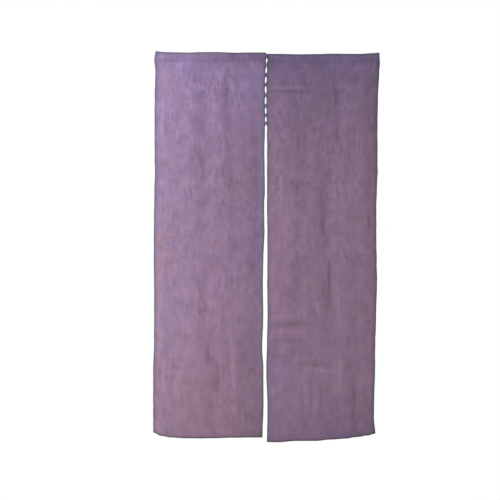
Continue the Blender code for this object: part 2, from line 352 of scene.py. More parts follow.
def cloth_length(side):
    """The whole length as a grid of rows by columns, with each point's place on the cut cloth."""
    sign = 1.0 if side == "right" else -1.0
    width = abs(float(edge_x(side, "outer", 100.0) - edge_x(side, "slit", 100.0)))
    share, offset, layer = column_table(width)
    inward = np.minimum(share, 1.0 - share) * width + np.abs(offset)
    across = np.clip(share + offset / width, 0.0, 1.0)
    corner = ease((SIDE_HEM + 5.0 - inward) / 5.0)
    top, seam, foot = top_z(side, across), seam_z(side, across), foot_z(side, across)
    loop = top - seam - SEAM_TAIL
    tail = TAIL_HALF + 1.5 * corner
    fullest = SLEEVE_HALF_DEPTH * (1.0 + 0.10 * rumple(across * width, 0.0 * across, 60.0, 1.0, 8.0))
    steps = 0.5 - 0.5 * np.cos(np.pi * np.arange(LOOP_ROWS + 1) / LOOP_ROWS)

    def wall(step):
        return np.maximum(fullest * loop_half(step), tail * ease(step * 4.0))

    rows = []  # (z, y, how far the layers of a side hem stand apart), from the raw top edge on
    for above in (5.5, 3.0, 1.2):  # the raw edge, tucked between the sleeve's two walls
        rows.append((seam + above, 0.0 * seam, 0.3))
    rows.append((seam + 0.1, 0.5 * tail, 0.5))
    for above in (0.5, 3.0):
        rows.append((seam + above, tail, 1.0))
    for step in steps[::-1]:
        rows.append((top - loop * step, wall(step), 1.0))
    top_row = len(rows) - 1
    for step in steps[1:]:
        rows.append((top - loop * step, -wall(step), 1.0))
    for above in (3.0, 0.5):
        rows.append((seam + above, -tail, 1.0))
    seam_row = len(rows) - 1

    laced_end = (LACED_DROP - SLEEVE_DROP) / (FULL_DROP - SLEEVE_DROP)
    laced = np.linspace(0.0, laced_end, LACED_ROWS, endpoint=False)
    for down in (*laced, *np.linspace(laced_end, 1.0, PLAIN_ROWS)):
        z = (seam - 2.0) * (1.0 - down) + (foot + 1.5) * down
        rows.append((z, -tail * np.exp(-(((seam - z) / 9.0) ** 2)), 1.0))
    foot_row = len(rows) - 1
    half_turn = 0.5 * (1.0 + 2.0 * corner) * LAYER / MM
    for angle in (-45.0, 0.0, 45.0):
        rise = half_turn * (1.0 - math.cos(math.radians(angle)))
        rows.append((foot + rise, half_turn * (1.0 + math.sin(math.radians(angle))), 1.0))
    for share_up in (0.1, 0.3, 0.55, 0.8, 0.96):
        rows.append((foot + FOOT_HEM * share_up, 2.0 * half_turn, 1.0))
    for below, depth in ((0.1, 1.85), (0.0, 1.5), (0.3, 1.15), (3.0, 1.0), (6.0, 1.0), (9.0, 1.0)):
        rows.append((foot + FOOT_HEM - below, depth * half_turn, 0.1 if below > 0.3 else 1.0))

    z = np.array([row[0] for row in rows])
    y = np.array([row[1] for row in rows])
    apart = np.array([row[2] for row in rows])[:, None]
    drop = -z
    slit, outer = edge_x(side, "slit", drop), edge_x(side, "outer", drop)
    x = slit + (outer - slit) * share + sign * offset
    pull = sum(
        np.exp(-(((drop - at) / (PULL_REACH * height)) ** 4)) for at, height, _ in LACING
    )
    laced_share = ease((LACED_DROP - drop) / LACED_FADE)
    aside = look_up(LACING, LACING_NAMES, "drop", "aside", drop) * laced_share
    drawn = LACE_DRAW * laced_share + (LACE_PULL - LACE_DRAW) * pull
    half_slit = 0.5 * (edge_x("right", "slit", drop) - edge_x("left", "slit", drop))
    drawn = np.minimum(drawn, half_slit - LACE_MEET)
    x += (aside - sign * drawn) * np.exp(-(((share * width + offset) / PULL_WIDTH) ** 2))
    panel = slice(seam_row + 1, None)
    y[panel] += 0.5 * CLOTH_THICK / MM - proud_of(side, x[panel], drop[panel])
    pucker = rumple(x, drop, 9.0, 400.0, 13.0) * np.exp(-(((z - seam) / 9.0) ** 2))
    y += 0.7 * pucker

    # Turned layers stack towards the inside of the turn, square to the way each row leads.
    lead_y, lead_z = np.gradient(y, axis=0), np.gradient(z, axis=0)
    lead = np.maximum(np.hypot(lead_y, lead_z), 1e-6)
    stack = layer * apart * LAYER / MM
    points = np.stack([x, y - stack * lead_z / lead, z + stack * lead_y / lead], -1) * MM

    along = np.hypot(np.diff(y, axis=0), np.diff(z, axis=0)).mean(1)
    cut_down = np.concatenate([[0.0], np.cumsum(along)])
    steps_across = np.abs(np.diff(share * width + offset))
    cut_across = CUT_FROM[side] + np.concatenate([[0.0], np.cumsum(steps_across)])
    cut = np.stack(np.broadcast_arrays(cut_across[None, :], cut_down[:, None], 0.0), -1) * MM
    return {
        "points": points,
        "cut": cut,
        "inward": inward,
        "layer": layer,
        "front": slice(top_row, foot_row + 1),
        "seam_row": seam_row,
    }


def grid_object(name, points, material):
    """A mesh of a grid of points, smooth, with the material."""
    count_down, count_across = points.shape[:2]
    index = np.arange(count_down * count_across).reshape(count_down, count_across)
    corners = (index[:-1, :-1], index[1:, :-1], index[1:, 1:], index[:-1, 1:])
    faces = np.stack(corners, -1).reshape(-1, 4)
    mesh = bpy.data.meshes.new(name)
    mesh.from_pydata(points.reshape(-1, 3).tolist(), [], faces.tolist())
    mesh.shade_smooth()
    mesh.materials.append(material)
    made = bpy.data.objects.new(name, mesh)
    bpy.context.scene.collection.objects.link(made)
    return made


def write_attribute(piece, name, kind, key, values):
    made = piece.data.attributes.new(name, kind, "POINT")
    made.data.foreach_set(key, np.asarray(values, np.float32).ravel())


class Socket:
    """An output socket. A sum or product of it adds Math nodes to its material."""

    def __init__(self, tree, socket=None):
        self.tree = tree
        self.socket = socket

    def node(self, kind, settings, inputs, output=0):
        """A new node of that kind: its settings first, then its sockets' values or links."""
        made = self.tree.nodes.new(kind)
        for name, value in settings.items():
            if name == "stops":
                ramp = made.color_ramp
                while len(ramp.elements) < len(value):
                    ramp.elements.new(1.0)
                for element, (place, colour) in zip(ramp.elements, value):
                    element.position = place
                    element.color = (*colour, 1.0)
            else:
                setattr(made, name, value)
        for name, value in inputs.items():
            if isinstance(value, Socket):
                self.tree.links.new(value.socket, made.inputs[name])
            else:
                made.inputs[name].default_value = value
        return Socket(self.tree, made.outputs[output] if made.outputs else None)

    def maths(self, operation, first, second=0.0):
        return self.node("ShaderNodeMath", {"operation": operation}, {0: first, 1: second})

    def __add__(self, other):
        return self.maths("ADD", self, other)

    def __sub__(self, other):
        return self.maths("SUBTRACT", self, other)

    def __rsub__(self, other):
        return self.maths("SUBTRACT", other, self)

    def __mul__(self, other):
        return self.maths("MULTIPLY", self, other)

    __radd__, __rmul__ = __add__, __mul__


WEAVE_PITCH = 0.95 * MM
PINK_DYE = (0.272, 0.166, 0.240)
BLUE_DYE = (0.224, 0.158, 0.302)
HEM_TINT = (0.82, 0.98, 0.95)  # dyed double, a turned hem comes out greyer
# painted shade in the creases' troughs and painted highlight on their ridges
CREASE_SHADE = 0.12
EDGE_SHADE = 0.50  # painted shade along the rounded folded edges

# How light each length is from the slit edge to the outer edge: painted light and shade, falling
# off away from the lamp on the left and darker where an outer edge turns back, partly uneven dye.
TONE_NAMES = ("across", "left", "right")
ACROSS_SHADE_AND_DYE = (
    (0.00, 0.78, 1.05),
    (0.08, 0.80, 1.05),
    (0.25, 0.84, 0.93),
    (0.50, 0.95, 0.92),
    (0.75, 1.02, 0.99),
    (0.955, 1.02, 0.97),
    (0.975, 0.97, 0.85),
    (1.00, 0.92, 0.80),
)

# How light each length is, and how blue and how streaky its dye turned out, down each length.
# Blue is 0 for the pinkish mauve and 1 for the bluish violet.
DYE_NAMES = (
    "drop", "left_tone", "right_tone", "left_blue", "right_blue", "left_grain", "right_grain"
)
DYES = (
    (0, 1.05, 0.70, 0.85, 1.00, 0.70, 0.75),
    (60, 1.07, 0.72, 0.75, 0.70, 0.90, 0.85),
    (200, 1.05, 0.75, 0.62, 0.45, 1.05, 0.85),
    (420, 1.01, 0.81, 0.45, 0.28, 0.90, 0.80),
    (740, 1.01, 0.87, 0.35, 0.18, 0.80, 0.75),
    (1000, 1.01, 0.85, 0.25, 0.15, 0.65, 0.50),
    (1250, 0.93, 0.83, 0.12, 0.15, 0.65, 0.45),
    (1500, 0.86, 0.72, 0.05, 0.25, 0.60, 0.50),
)

# Broad soft patches, partly uneven dyeing and partly painted light and shade: the middle of
# each soft patch, its reach, and how much lighter and bluer it is than the cloth around it.
PATCH_NAMES = ("x", "drop", "wide", "tall", "tone", "blue")
PATCHES = {
    "left": (
        (-385, 330, 60, 230, 0.05, -0.05),
        (-395, 760, 24, 130, 0.02, -0.40),
        (-60, 110, 50, 70, 0.05, 0.2),
        (-90, 20, 130, 28, -0.18, 0.0),
        (-390, 38, 60, 18, 0.07, -0.1),
        (-170, 1180, 80, 120, -0.04, 0.0),
        (-250, 420, 40, 90, -0.04, 0.0),
        (-110, 520, 70, 60, -0.04, -0.3),
        (-30, 640, 16, 190, -0.02, 0.35),
        (-35, 900, 14, 160, -0.02, 0.2),
        (-290, 1150, 80, 180, 0.03, 0.0),
        (-300, 50, 90, 18, -0.02, 0.35),
        (-240, 1380, 60, 90, 0.0, -0.4),
        (-165, 1300, 16, 110, -0.04, -0.5),
        (-330, 1290, 30, 90, 0.02, -0.3),
        (-385, 100, 50, 60, 0.05, -0.25),
    ),
    "right": (
        (230, 90, 200, 70, -0.05, 0.1),
        (20, 40, 40, 50, -0.08, 0.2),
        (60, 28, 60, 26, -0.06, 0.0),
        (400, 25, 60, 28, -0.06, 0.0),
        (190, 880, 130, 200, -0.04, 0.0),
        (50, 1400, 50, 80, 0.04, 0.1),
        (330, 520, 60, 160, 0.04, 0.0),
        (110, 640, 50, 160, 0.03, 0.0),
        (220, 620, 26, 150, -0.05, 0.0),
        (120, 1130, 60, 90, -0.03, 0.0),
        (300, 1330, 90, 120, 0.02, 0.0),
        (420, 700, 20, 700, -0.03, -0.2),
        (411, 1180, 10, 160, 0.0, -0.5),
        (395, 1440, 50, 110, -0.05, 0.0),
        (300, 1490, 80, 18, -0.02, 0.35),
        (28, 1330, 14, 170, 0.0, 0.3),
        (60, 1230, 50, 60, 0.02, 0.3),
    ),
}


def across_at(side, x, z):
    slit, outer = edge_x(side, "slit", -z), edge_x(side, "outer", -z)
    return np.clip((x - slit) / (outer - slit), 0.0, 1.0)


def dye_and_painted_shade(side, cloth):
    """Lightness, blueness, grain and hem tint at every point of the length; the lightness holds
    painted light and shade as well as the dye's.
    """
    x, z = cloth["points"][..., 0] / MM, cloth["points"][..., 2] / MM
    across = across_at(side, x, z)
    seam = seam_z(side, across)
    # Painted light and shade across the length, partly uneven dye.
    tone = look_up(ACROSS_SHADE_AND_DYE, TONE_NAMES, "across", side, across)
    tone = tone * look_up(DYES, DYE_NAMES, "drop", f"{side}_tone", -z)
    blue = look_up(DYES, DYE_NAMES, "drop", f"{side}_blue", -z)
    grain = look_up(DYES, DYE_NAMES, "drop", f"{side}_grain", -z)
    for row in PATCHES[side]:
        patch = dict(zip(PATCH_NAMES, row))
        off, down = (x - patch["x"]) / patch["wide"], (z + patch["drop"]) / patch["tall"]
        spot = np.exp(-off * off - down * down)
        tone = tone + patch["tone"] * spot
        blue = blue + patch["blue"] * spot
    # Painted shade along the creases' troughs and painted highlight along their ridges.
    tone = tone + CREASE_SHADE * crease_sum(side, x, -z, "tone")
    uneven = 1.0 + 2.2 * rumple(x, z, 55.0, 500.0, 23.0)
    foot = ease((foot_z(side, across) + FOOT_HEM + 2.0 - z) / 12.0)
    sleeve = ease((z - seam + 2.0) / 8.0) * uneven
    seam_shadow_line = np.exp(-(((z - seam - 2.0) / 3.5) ** 2)) * uneven
    fold_line = np.exp(-(((z - top_z(side, across)) / 5.0) ** 2))
    foot_line = np.exp(-(((z - foot_z(side, across)) / 6.0) ** 2))
    # Painted shade: a little darker over the double layers of the sleeve and the foot hem, and a
    # painted shadow line just above the sleeve's seam.
    tone = tone * (1.0 - 0.05 * foot - 0.05 * sleeve - 0.05 * seam_shadow_line)
    # Painted shade along the rounded top fold and along the foot.
    tone = tone * (1.0 - EDGE_SHADE * np.maximum(0.75 * fold_line, 1.15 * foot_line))
    inward = cloth["inward"]
    hem = np.broadcast_to(0.8 * ease((SIDE_HEM + 3.0 - inward) / 8.0), x.shape)
    hem = hem + 0.6 * np.maximum(fold_line, foot_line)
    if side == "left":  # greyer towards its outer edge, and a little lighter there: painted light on the side nearer the lamp, partly uneven dye
        outer_grey_and_lit = ease((across - 0.55) / 0.3)
        hem, tone = np.maximum(hem, 0.3 * outer_grey_and_lit), tone * (1.0 + 0.035 * outer_grey_and_lit)
    # Painted shade along the rounded side edges.
    tone = tone * (1.0 - EDGE_SHADE * np.exp(-((inward / 4.0) ** 2)))
    return {"tone": tone, "blue": blue, "grain": grain, "hem": hem}


def dyed_hemp(side):
    """Hand-dyed plain weave: bluer near the top, pinker towards the foot, and streaky."""
    material = bpy.data.materials.new(f"dyed_hemp_{side}")
    material.use_nodes = True
    tree = material.node_tree
    tree.nodes.clear()
    new = Socket(tree)
    cut = new.node("ShaderNodeAttribute", {"attribute_name": "cut"}, {}, "Vector")
    # tone carries the dye's lightness together with painted light and shade.
    tone = new.node("ShaderNodeAttribute", {"attribute_name": "tone"}, {}, "Fac")
    blue = new.node("ShaderNodeAttribute", {"attribute_name": "blue"}, {}, "Fac")
    streaky = new.node("ShaderNodeAttribute", {"attribute_name": "grain"}, {}, "Fac")
    hem = new.node("ShaderNodeAttribute", {"attribute_name": "hem"}, {}, "Fac")
    u = new.node("ShaderNodeSeparateXYZ", {}, {0: cut}, "X")
    v = new.node("ShaderNodeSeparateXYZ", {}, {0: cut}, "Y")

    def threads(wide, tall, detail):
        """Noise about zero, with grains about wide across and tall along, in millimetres."""
        scaled = new.node(
            "ShaderNodeVectorMath",
            {"operation": "MULTIPLY"},
            {0: cut, 1: (1.0 / (wide * MM), 1.0 / (tall * MM), 1.0)},
        )
        noises = new.node(
            "ShaderNodeTexNoise",
            {"noise_dimensions": "2D"},
            {"Vector": scaled, "Scale": 1.0, "Detail": detail, "Roughness": 0.6},
        )
        return noises - 0.5

    streaks = threads(16.0, 42.0, 1.0)
    fine_streaks = threads(7.5, 22.0, 1.0)
    weft_bars = threads(34.0, 9.0, 0.0)
    clouds = threads(42.0, 60.0, 2.0)
    hue_clouds = threads(28.0, 46.0, 2.0)
    warp_slubs = threads(0.9, 30.0, 1.0)
    weft_slubs = threads(30.0, 0.9, 1.0)

    # The grain comes out strongly in some patches and hardly at all in others.
    patchy = new.maths("MAXIMUM", 0.75 + threads(83.0, 127.0, 2.0) * 3.0, 0.1)
    grain = (streaks * 0.52 + fine_streaks * 0.22 + weft_bars * 0.10) * streaky
    tone = tone * (1.0 + grain * patchy + clouds * 0.42)
    tone = tone + (warp_slubs + weft_slubs) * 0.10
    blue = blue + hue_clouds * 0.75 + streaks * 0.12
    dye = new.node(
        "ShaderNodeMix",
        {"data_type": "RGBA"},
        {0: blue, 6: (*PINK_DYE, 1.0), 7: (*BLUE_DYE, 1.0)},
        2,
    )
    tinted = new.node(
        "ShaderNodeMix",
        {"data_type": "RGBA", "blend_type": "MULTIPLY"},
        {0: hem, 6: dye, 7: (*HEM_TINT, 1.0)},
        2,
    )
    grey = new.node("ShaderNodeCombineXYZ", {}, {0: tone, 1: tone, 2: tone})
    colour = new.node("ShaderNodeVectorMath", {"operation": "MULTIPLY"}, {0: tinted, 1: grey})

    # Warp and weft pass over each other by turns, each thread rounded.
    turn = math.pi / WEAVE_PITCH
    warp = u.maths("ABSOLUTE", u.maths("COSINE", u * turn))
    weft = v.maths("ABSOLUTE", v.maths("COSINE", v * turn))
    over = 0.5 + 0.5 * u.maths("SINE", u * turn) * v.maths("SINE", v * turn)
    weave = warp * over + weft * (1.0 - over) + (warp_slubs + weft_slubs) * 1.6
    bump = new.node(
        "ShaderNodeBump", {}, {"Strength": 0.35, "Distance": 0.25 * MM, "Height": weave}
    )
    shader = new.node(
        "ShaderNodeBsdfPrincipled",
        {},
        {
            "Base Color": colour,
            "Roughness": 0.90 + weave * 0.05,
            "Sheen Weight": 0.08,
            "Sheen Roughness": 0.6,
            "Specular IOR Level": 0.15,
            "Normal": bump,
        },
    )
    new.node("ShaderNodeOutputMaterial", {}, {"Surface": shader})
    return material


def hung_length(side):
    cloth = cloth_length(side)
    piece = grid_object(f"cloth_length_{side}", cloth["points"], dyed_hemp(side))
    write_attribute(piece, "cut", "FLOAT_VECTOR", "vector", cloth["cut"])
    for name, values in dye_and_painted_shade(side, cloth).items():
        write_attribute(piece, name, "FLOAT", "value", values)
    body = piece.modifiers.new("thickness", "SOLIDIFY")
    body.thickness = CLOTH_THICK
    body.offset = 0.0
    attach(piece, "root")
    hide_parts(f"panel_{side}", f"sleeve_{side}")
    return piece, cloth


left_length, left_cloth = hung_length("left")
right_length, right_cloth = hung_length("right")

# ---------------------------------------------------------------------------------------
# The hems' stitches. The side hems and the foot are felled by hand: a slanting stitch on
# the back over the hem's turned edge, and a fleck of thread where it shows on the front.

STITCH_THREAD = 0.5 * MM
FELL_PITCH = 7.0
FELL_REACH = 1.6  # each way from the hem's turned edge
FLECK = 1.1
FOOT_STITCHES_TO = 415.0


def tube(path, radius, sides=6, closed=False):
    """Vertices and faces of a tube along points; its ends are closed unless it is a ring."""
    path = np.asarray(path, float)
    ahead = np.roll(path, -1, axis=0) - np.roll(path, 1, axis=0)
    if not closed:
        ahead[0], ahead[-1] = path[1] - path[0], path[-1] - path[-2]
    ahead /= np.linalg.norm(ahead, axis=1)[:, None]
    aside = np.cross(ahead, (0.31, 0.23, 0.92))
    weak = np.linalg.norm(aside, axis=1) < 0.15
    aside[weak] = np.cross(ahead[weak], (0.92, -0.31, 0.23))
    aside /= np.linalg.norm(aside, axis=1)[:, None]
    for i in range(1, len(path)):  # carried along, so that the tube doesn't twist
        aside[i] = aside[i - 1] - ahead[i] * (aside[i - 1] @ ahead[i])
        aside[i] /= np.linalg.norm(aside[i])
    up = np.cross(ahead, aside)
    angle = 2.0 * math.pi * np.arange(sides) / sides
    ring = aside[:, None] * np.cos(angle)[:, None] + up[:, None] * np.sin(angle)[:, None]
    vertices = (path[:, None] + radius * ring).reshape(-1, 3)
    count = len(path)
    faces = []
    for i in range(count if closed else count - 1):
        here, there = i * sides, (i + 1) % count * sides
        for j in range(sides):
            k = (j + 1) % sides
            faces.append((here + j, here + k, there + k, there + j))
    if not closed:
        faces.append(tuple(reversed(range(sides))))
        faces.append(tuple(range((count - 1) * sides, count * sides)))
    return vertices, faces


def thread_piece(name, tubes, material):
    """One piece of many tubes of thread, riding on the curtain."""
    vertices, faces, start = [], [], 0
    for tube_vertices, tube_faces in tubes:
        vertices.append(tube_vertices)
        faces += [tuple(start + i for i in face) for face in tube_faces]
        start += len(tube_vertices)
    mesh = bpy.data.meshes.new(name)
    mesh.from_pydata(np.concatenate(vertices).tolist(), [], faces)
    mesh.shade_smooth()
    mesh.materials.append(material)
    piece = bpy.data.objects.new(name, mesh)
    bpy.context.scene.collection.objects.link(piece)
    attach(piece, "root")
    return piece


def spun_thread(name, dye, pitch):
    """Two-ply hemp thread: fine slanting furrows with painted shade in them, and an uneven, darker
    dye.
    """
    material = bpy.data.materials.new(name)
    material.use_nodes = True
    tree = material.node_tree
    tree.nodes.clear()
    new = Socket(tree)
    place = new.node("ShaderNodeTexCoord", {}, {}, "Object")
    patchy = new.node(
        "ShaderNodeTexNoise", {}, {"Vector": place, "Scale": 420.0, "Detail": 2.0}
    )
    fibres = new.node(
        "ShaderNodeTexWave",
        {"bands_direction": "DIAGONAL"},
        {"Vector": place, "Scale": 0.32 / pitch, "Distortion": 2.0, "Detail": 2.0},
        "Fac",
    )
    # Painted shade in the furrows: the colour follows their relief, darker between the fibres; patchy
    # is the thread's uneven dye.
    shade = 0.78 + patchy * 0.44 + fibres * 0.08
    grey = new.node("ShaderNodeCombineXYZ", {}, {0: shade, 1: shade, 2: shade})
    colour = new.node("ShaderNodeVectorMath", {"operation": "MULTIPLY"}, {0: grey, 1: dye})
    bump = new.node("ShaderNodeBump", {}, {"Strength": 0.4, "Distance": 0.1 * MM, "Height": fibres})
    shader = new.node(
        "ShaderNodeBsdfPrincipled",
        {},
        {"Base Color": colour, "Roughness": 0.85, "Specular IOR Level": 0.2, "Normal": bump},
    )
    new.node("ShaderNodeOutputMaterial", {}, {"Surface": shader})
    return material


def on_front(cloth, inward, z, side_of_cloth="slit"):
    """The point of the front layer at a place in from the slit or outer edge, at height z."""
    front = np.flatnonzero(cloth["layer"] == 0.0)
    half = front[: len(front) // 2] if side_of_cloth == "slit" else front[len(front) // 2 :]
    column = half[np.argmin(np.abs(cloth["inward"][half] - inward))]
    line = cloth["points"][cloth["front"], column]
    return np.array([np.interp(-z, -line[:, 2], line[:, i]) for i in range(3)])


def felling_stitch(at, reach, slant, fleck):
    """A slanting stitch over a hem's turned edge on the back, and its fleck on the front."""
    lift = np.array([0.0, 0.5 * CLOTH_THICK + 0.35 * STITCH_THREAD, 0.0])
    over_hem = at + (0.0, LAYER, 0.0) + lift - 0.6 * reach - slant
    beyond = at + lift + reach + slant
    rise = 0.5 * (over_hem + beyond) + (0.0, 0.35 * LAYER, 0.0)
    path = (over_hem - lift, over_hem, rise, beyond, beyond - lift)
    shown = at + 0.5 * reach - lift + (0.0, 0.15 * MM, 0.0)
    into = np.array([0.0, 0.5 * MM, 0.0])
    flecked = (shown + fleck + into, shown + 0.8 * fleck, shown - 0.8 * fleck, shown - fleck + into)
    return [tube(path, 0.5 * STITCH_THREAD, 5), tube(flecked, 0.45 * STITCH_THREAD, 5)]


def hem_edge_stitches(cloth, side, edge):
    """Felling stitches down one side hem, from the sleeve's seam to the foot."""
    sign = (1.0 if side == "right" else -1.0) * (1.0 if edge == "slit" else -1.0)
    reach = np.array([sign * FELL_REACH * MM, 0.0, 0.0])
    slant = np.array([0.0, 0.0, -0.9 * MM])
    fleck = np.array([0.0, 0.0, 0.5 * FLECK * MM])
    stitches = []
    z = -SLEEVE_DROP - 9.0
    foot = float(foot_z(side, 0.0 if edge == "slit" else 1.0))
    while z > foot + FOOT_HEM + 4.0:
        wander = noise.noise(Vector((z / 5.0, sign, 4.0)))
        at = on_front(cloth, SIDE_HEM, (z + wander) * MM, edge)
        stitches += felling_stitch(at, reach, slant, fleck)
        z -= FELL_PITCH + 0.8 * wander
    return stitches


def foot_stitches(cloth, side):
    """Felling stitches along the foot, a hem's height above it."""
    sign = 1.0 if side == "right" else -1.0
    reach = np.array([0.0, 0.0, FELL_REACH * MM])
    slant = np.array([0.9 * MM, 0.0, 0.0])
    fleck = np.array([0.5 * FLECK * MM, 0.0, 0.0])
    front = np.flatnonzero(cloth["layer"] == 0.0)
    lines = cloth["points"][cloth["front"]][:, front]
    stitches = []
    x = SIDE_HEM + 12.0
    while x < FOOT_STITCHES_TO:
        wander = noise.noise(Vector((x / 5.0, sign, 9.0)))
        across = across_at(side, sign * x, -1500.0)
        z = (foot_z(side, across) + FOOT_HEM) * MM
        row = lines[np.argmin(np.abs(lines[:, len(front) // 2, 2] - z))]
        order = np.argsort(row[:, 0])
        y = np.interp(sign * x * MM, row[order, 0], row[order, 1])
        at = np.array([sign * x * MM, y, z])
        stitches += felling_stitch(at, reach, slant, fleck)
        x += FELL_PITCH + 0.8 * wander
    return stitches


sewing_thread = spun_thread("sewing_thread", (0.150, 0.108, 0.175), 0.5 * MM)


def hem_stitches(cloth, side):
    stitches = hem_edge_stitches(cloth, side, "slit") + hem_edge_stitches(cloth, side, "outer")
    return thread_piece(f"hem_stitches_{side}", stitches + foot_stitches(cloth, side), sewing_thread)


left_hem_stitches = hem_stitches(left_cloth, "left")
right_hem_stitches = hem_stitches(right_cloth, "right")

# ---------------------------------------------------------------------------------------
# The sleeves' stitches: one row of running stitches through both walls of each sleeve,
# just above the edge of the turned-back top, in the same thread as the hems.

RUN_PITCH = 6.5
RUN_SHOWN = 3.6
RUN_FROM, RUN_TO = 9.5, 426.0  # in from the slit


def running_stitches(cloth, side):
    sign = 1.0 if side == "right" else -1.0
    single = np.flatnonzero(cloth["layer"] == 0.0)
    seam_row = cloth["seam_row"]
    lift = 0.5 * CLOTH_THICK + 0.3 * STITCH_THREAD
    stitches = []
    for face, rows in ((-1.0, (seam_row, seam_row - 1)), (1.0, (4, 5))):
        lines = 0.32 * cloth["points"][rows[0], single] + 0.68 * cloth["points"][rows[1], single]
        order = np.argsort(lines[:, 0])
        x = RUN_FROM if face < 0.0 else RUN_FROM + 0.5 * RUN_PITCH
        while x < RUN_TO:
            wander = noise.noise(Vector((x / 4.0, sign, face)))
            path = []
            for along, depth in ((-0.5, -1.6), (-0.42, 0.6), (0.0, 1.0), (0.42, 0.6), (0.5, -1.6)):
                px = sign * (x + along * (RUN_SHOWN + 0.5 * wander)) * MM
                y = np.interp(px, lines[order, 0], lines[order, 1])
                z = np.interp(px, lines[order, 0], lines[order, 2])
                tilt = along * 0.5 * wander * MM
                path.append((px, y + face * lift * depth, z + tilt))
            stitches.append(tube(path, 0.5 * STITCH_THREAD, 5))
            x += RUN_PITCH + 0.5 * wander
    return thread_piece(f"sleeve_stitches_{side}", stitches, sewing_thread)


left_sleeve_stitches = running_stitches(left_cloth, "left")
right_sleeve_stitches = running_stitches(right_cloth, "right")

# ---------------------------------------------------------------------------------------
# The lacing's crossings. A doubled two-ply thread goes over the slit in a cross at each,
# and straight down behind each edge, so that it draws the two hems almost together.

LACE_PLY = 0.40 * MM  # radius of one ply
LACE_TWIST = 3.4 * MM
LACE_STEP = 0.55 * MM
STITCH_IN = 6.0  # how far in from each edge the thread goes through the cloth


def rounded_loop(points, step):
    """A smooth closed curve through points, as evenly spaced points."""
    points = np.asarray(points, float)
    before, after = np.roll(points, 1, axis=0), np.roll(points, -1, axis=0)
    later = np.roll(points, -2, axis=0)
    t = np.linspace(0.0, 1.0, 13)[:-1, None, None]
    curve = 0.5 * (
        2.0 * points
        + (after - before) * t
        + (2.0 * before - 5.0 * points + 4.0 * after - later) * t**2
        + (3.0 * points - before - 3.0 * after + later) * t**3
    )
    curve = np.swapaxes(curve, 0, 1).reshape(-1, 3)
    ring = np.concatenate([curve, curve[:1]])
    lengths = np.concatenate([[0.0], np.cumsum(np.linalg.norm(np.diff(ring, axis=0), axis=1))])
    count = max(12, int(lengths[-1] / step))
    places = np.linspace(0.0, lengths[-1], count, endpoint=False)
    return np.stack([np.interp(places, lengths, ring[:, i]) for i in range(3)], -1)


def two_ply(loop):
    """Two plies twisted round each other along a closed loop."""
    ahead = np.roll(loop, -1, axis=0) - np.roll(loop, 1, axis=0)
    ahead /= np.linalg.norm(ahead, axis=1)[:, None]
    aside = np.cross(ahead, (0.12, 0.97, 0.2))
    aside /= np.maximum(np.linalg.norm(aside, axis=1), 1e-3)[:, None]
    up = np.cross(ahead, aside)
    steps = np.linalg.norm(np.roll(loop, -1, axis=0) - loop, axis=1)
    turns = round(float(steps.sum()) / LACE_TWIST)
    phase = 2.0 * math.pi * turns * np.arange(len(loop)) / len(loop)
    plies = []
    for start in (0.0, math.pi):
        swing = aside * np.cos(phase + start)[:, None] + up * np.sin(phase + start)[:, None]
        plies.append(tube(loop + 0.92 * LACE_PLY * swing, LACE_PLY, 6, closed=True))
    return plies


def over_slit(start, end, over, rise=0.0):
    """Points of one run of thread over the slit, from a place in one length to the other."""
    points = []
    for share in (0.0, 0.38, 0.5, 0.62, 1.0):
        cloth, inward = (start[0], start[1]) if share < 0.5 else (end[0], end[1])
        z = start[2] * (1.0 - share) + end[2] * share
        if share == 0.5:
            middle = 0.5 * (on_front(start[0], 0.5, z) + on_front(end[0], 0.5, z))
            points.append(middle - (0.0, 0.8 * over + rise, 0.0))
        else:
            at = on_front(cloth, inward if share in (0.0, 1.0) else 0.9, z)
            points.append(at - (0.0, over, 0.0))
    return points


def lace_cross(number, drop, height, barred):
    """Two doubled arms across the slit, and the runs behind the edges that join them."""
    over = 0.5 * CLOTH_THICK + 1.9 * LACE_PLY
    behind = np.array([0.0, LAYER + 0.5 * CLOTH_THICK + 1.9 * LACE_PLY, 0.0])
    sinks = np.array([0.0, 0.3 * behind[1], 0.0])
    left, right = left_cloth, right_cloth
    tubes = []
    for narrower, spare in ((0.0, 0.0), (1.8, 0.9)):  # the doubled thread's outer and inner strand
        reach = 0.5 * (height - narrower)
        inward = STITCH_IN - spare
        upper, lower = (-drop + reach) * MM, (-drop - reach) * MM
        arms = [
            ((left, inward, lower), (right, inward, upper), 0.0),
            ((right, inward, lower), (left, inward, upper), 2.2 * LACE_PLY),
        ]
        if barred:
            arms.append(((left, inward, upper + 1.0 * MM), (right, inward, upper + 1.0 * MM), 0.0))
            arms.append(((right, inward, lower), (left, inward, lower), 1.1 * LACE_PLY))
        points = []
        for start, end, rise in arms:
            first, last = (on_front(*place) for place in (start, end))
            points += [first + behind, first + sinks, *over_slit(start, end, over, rise)]
            points += [last + sinks, last + behind]
        tubes += two_ply(rounded_loop(points, LACE_STEP))
    piece = thread_piece(f"lacing_cross_{number}", tubes, lacing_thread)
    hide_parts(f"lace_cross_{number}")
    return piece


lacing_thread = spun_thread("lacing_thread", (0.100, 0.077, 0.121), 0.8 * MM)
for number, (drop, height, _) in enumerate(LACING[:-1], 1):
    lace_cross(number, drop, height, barred=number == 1)

# ---------------------------------------------------------------------------------------
# The lacing's side runs. Between the crossings the same thread lies down the front of both
# slit edges, a couple of millimetres in, and follows the curve that it draws them into.

RUN_INWARD = 2.0
RUN_STEP = 1.6


